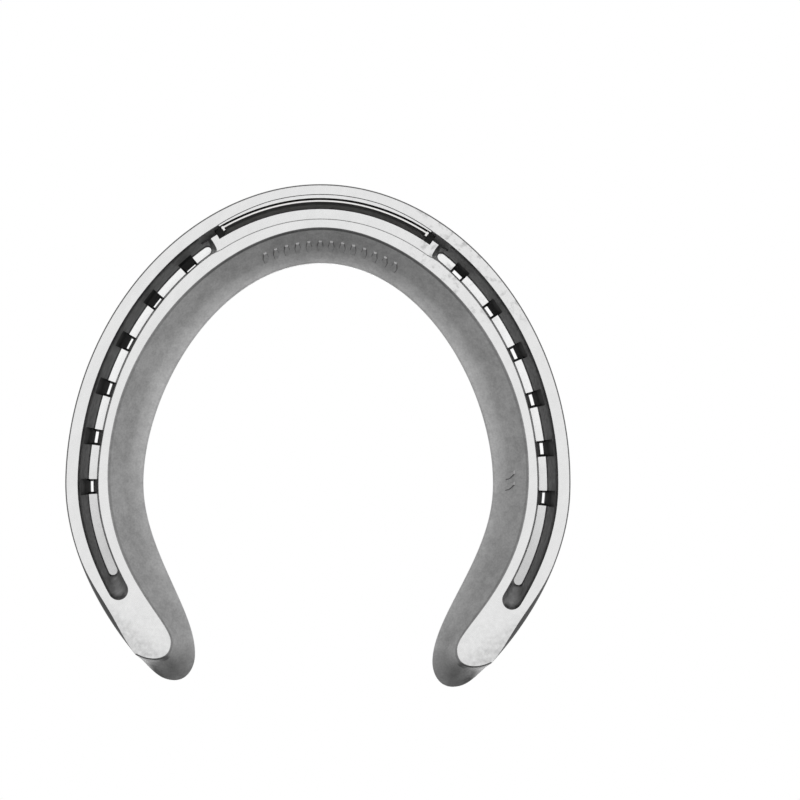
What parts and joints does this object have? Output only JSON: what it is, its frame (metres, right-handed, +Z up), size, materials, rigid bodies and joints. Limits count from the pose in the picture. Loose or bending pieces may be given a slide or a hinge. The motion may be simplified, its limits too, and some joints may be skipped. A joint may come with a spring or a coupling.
{
  "type": "horseshoe",
  "caption": "Flat forged aluminium hind racing horseshoe with creased branches, nail holes, a toe clip and a steel wear insert pressed into the toe.",
  "frame": {"origin": "centre of the whole shoe's width and length, with its clip, on the plane of the ground face", "axes": "+Z up, from the ground face to the hoof; +Y towards the toe; +X towards one branch"},
  "size_m": [0.1194, 0.12, 0.02],
  "materials": {
    "forged_aluminium": "satin",
    "wear_steel": "brushed"
  },
  "bodies": {
    "root": {"shoe_body": "forged_aluminium", "toe_insert": "wear_steel"}
  },
  "joints": []
}
